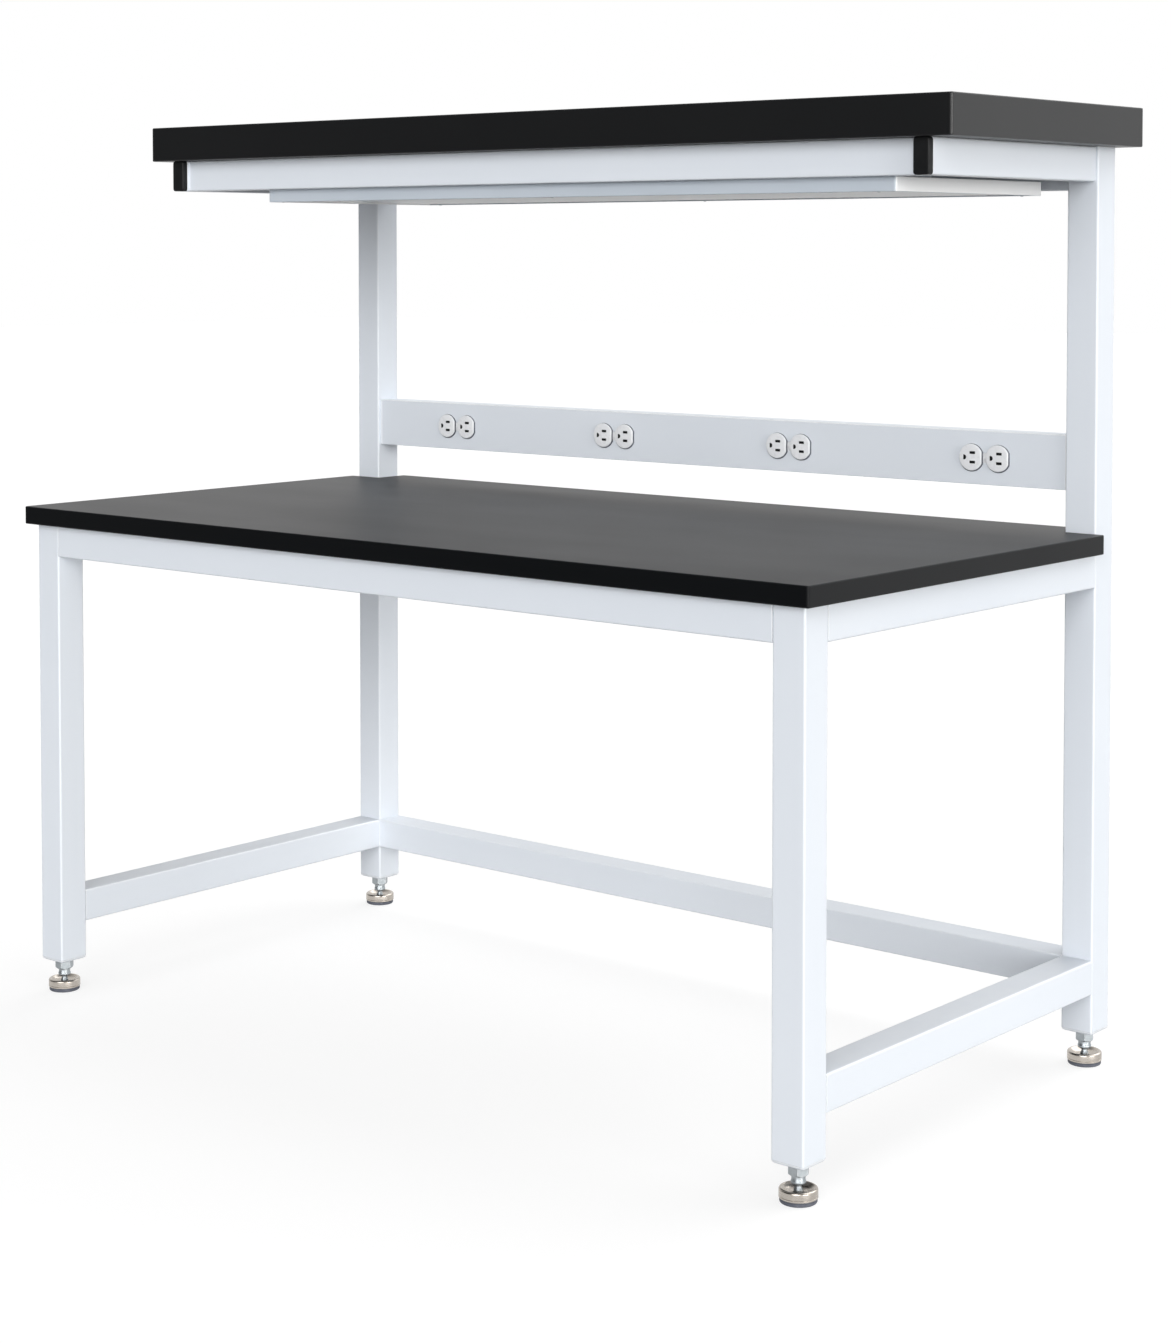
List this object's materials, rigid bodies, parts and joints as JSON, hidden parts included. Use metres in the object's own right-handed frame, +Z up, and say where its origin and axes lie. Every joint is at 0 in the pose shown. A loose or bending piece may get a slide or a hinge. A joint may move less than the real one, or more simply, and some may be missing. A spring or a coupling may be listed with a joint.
{
  "type": "lab bench with reagent shelf",
  "caption": "Steel-framed lab bench with a dark worktop, a raised reagent shelf on cantilever arms, a flat light under it, a rear power rail with receptacles and levelling feet.",
  "frame": {"origin": "on the floor, under the middle of the bench's bounding box", "axes": "+X along the bench to the right as seen by the person at it, +Y to the rear, +Z up"},
  "size_m": [1.566, 0.8, 1.392],
  "materials": {
    "powder_coat": "white powder coat, satin",
    "black_top": "black laminate over a board core, semi-matte",
    "black_plastic": "black moulded plastic",
    "white_plastic": "white moulded nylon",
    "opal_plastic": "opal diffuser sheet",
    "circuit_board": "white solder mask",
    "zinc": "zinc-plated steel",
    "nickel": "nickel-plated steel, smooth",
    "rubber": "dark grey rubber"
  },
  "bodies": {
    "frame": {"leg_front_left": "powder_coat", "leg_front_right": "powder_coat", "post_rear_left": "powder_coat", "post_rear_right": "powder_coat", "apron_front": "powder_coat", "apron_rear": "powder_coat", "apron_left": "powder_coat", "apron_right": "powder_coat", "stretcher_left": "powder_coat", "stretcher_right": "powder_coat", "stretcher_rear": "powder_coat", "shelf_arm_left": "powder_coat", "shelf_arm_right": "powder_coat", "shelf_front_rail": "powder_coat", "shelf_rear_rail": "powder_coat", "shelf_bearer_left": "powder_coat", "shelf_bearer_right": "powder_coat", "light_housing": "powder_coat", "power_channel": "powder_coat", "power_cover": "powder_coat", "power_end_left": "powder_coat", "power_end_right": "powder_coat", "worktop": "black_top", "shelf_top": "black_top", "shelf_arm_cap_left": "black_plastic", "shelf_arm_cap_right": "black_plastic", "power_gland": "black_plastic", "light_diffuser": "opal_plastic", "light_led_board": "circuit_board", "light_driver": "white_plastic", "receptacle_1": "white_plastic", "receptacle_screw_1": "white_plastic", "receptacle_2": "white_plastic", "receptacle_screw_2": "white_plastic", "receptacle_3": "white_plastic", "receptacle_screw_3": "white_plastic", "receptacle_4": "white_plastic", "receptacle_screw_4": "white_plastic", "foot_insert_front_left": "powder_coat", "foot_insert_front_right": "powder_coat", "foot_insert_rear_left": "powder_coat", "foot_insert_rear_right": "powder_coat"},
    "light_switch": {"light_switch_rocker": "black_plastic"},
    "nut_front_left": {"foot_nut_front_left": "zinc"},
    "stud_front_left": {"foot_stud_front_left": "zinc"},
    "pad_front_left": {"foot_cup_front_left": "nickel", "foot_rubber_front_left": "rubber"},
    "nut_front_right": {"foot_nut_front_right": "zinc"},
    "stud_front_right": {"foot_stud_front_right": "zinc"},
    "pad_front_right": {"foot_cup_front_right": "nickel", "foot_rubber_front_right": "rubber"},
    "nut_rear_left": {"foot_nut_rear_left": "zinc"},
    "stud_rear_left": {"foot_stud_rear_left": "zinc"},
    "pad_rear_left": {"foot_cup_rear_left": "nickel", "foot_rubber_rear_left": "rubber"},
    "nut_rear_right": {"foot_nut_rear_right": "zinc"},
    "stud_rear_right": {"foot_stud_rear_right": "zinc"},
    "pad_rear_right": {"foot_cup_rear_right": "nickel", "foot_rubber_rear_right": "rubber"}
  },
  "joints": [
    {"name": "light_switch_tip", "type": "hinge", "parent": "frame", "child": "light_switch", "pos_m": [-0.5375, 0.114, 1.276], "axis": [0, -1, 0], "range_deg": [0, 16]},
    {"name": "stud_lift_front_left", "type": "slide", "parent": "frame", "child": "stud_front_left", "axis": [0, 0, -1], "range_m": [0, 0.025]},
    {"name": "nut_turn_front_left", "type": "hinge", "parent": "stud_front_left", "child": "nut_front_left", "pos_m": [-0.722, -0.36, 0.042], "axis": [0, 0, 1], "range_deg": [0, 4500]},
    {"name": "pad_tilt_front_left", "type": "hinge", "parent": "stud_front_left", "child": "pad_front_left", "pos_m": [-0.722, -0.36, 0.0143], "axis": [1, 0, 0], "range_deg": [-8, 8]},
    {"name": "stud_lift_front_right", "type": "slide", "parent": "frame", "child": "stud_front_right", "axis": [0, 0, -1], "range_m": [0, 0.025]},
    {"name": "nut_turn_front_right", "type": "hinge", "parent": "stud_front_right", "child": "nut_front_right", "pos_m": [0.722, -0.36, 0.042], "axis": [0, 0, 1], "range_deg": [0, 4500]},
    {"name": "pad_tilt_front_right", "type": "hinge", "parent": "stud_front_right", "child": "pad_front_right", "pos_m": [0.722, -0.36, 0.0143], "axis": [1, 0, 0], "range_deg": [-8, 8]},
    {"name": "stud_lift_rear_left", "type": "slide", "parent": "frame", "child": "stud_rear_left", "axis": [0, 0, -1], "range_m": [0, 0.025]},
    {"name": "nut_turn_rear_left", "type": "hinge", "parent": "stud_rear_left", "child": "nut_rear_left", "pos_m": [-0.722, 0.36, 0.042], "axis": [0, 0, 1], "range_deg": [0, 4500]},
    {"name": "pad_tilt_rear_left", "type": "hinge", "parent": "stud_rear_left", "child": "pad_rear_left", "pos_m": [-0.722, 0.36, 0.0143], "axis": [1, 0, 0], "range_deg": [-8, 8]},
    {"name": "stud_lift_rear_right", "type": "slide", "parent": "frame", "child": "stud_rear_right", "axis": [0, 0, -1], "range_m": [0, 0.025]},
    {"name": "nut_turn_rear_right", "type": "hinge", "parent": "stud_rear_right", "child": "nut_rear_right", "pos_m": [0.722, 0.36, 0.042], "axis": [0, 0, 1], "range_deg": [0, 4500]},
    {"name": "pad_tilt_rear_right", "type": "hinge", "parent": "stud_rear_right", "child": "pad_rear_right", "pos_m": [0.722, 0.36, 0.0143], "axis": [1, 0, 0], "range_deg": [-8, 8]}
  ],
  "couplings": [
    {"joint": "nut_turn_front_left", "follows": "stud_lift_front_left", "rad_per_m": 3141.6},
    {"joint": "nut_turn_front_right", "follows": "stud_lift_front_right", "rad_per_m": 3141.6},
    {"joint": "nut_turn_rear_left", "follows": "stud_lift_rear_left", "rad_per_m": 3141.6},
    {"joint": "nut_turn_rear_right", "follows": "stud_lift_rear_right", "rad_per_m": 3141.6}
  ]
}
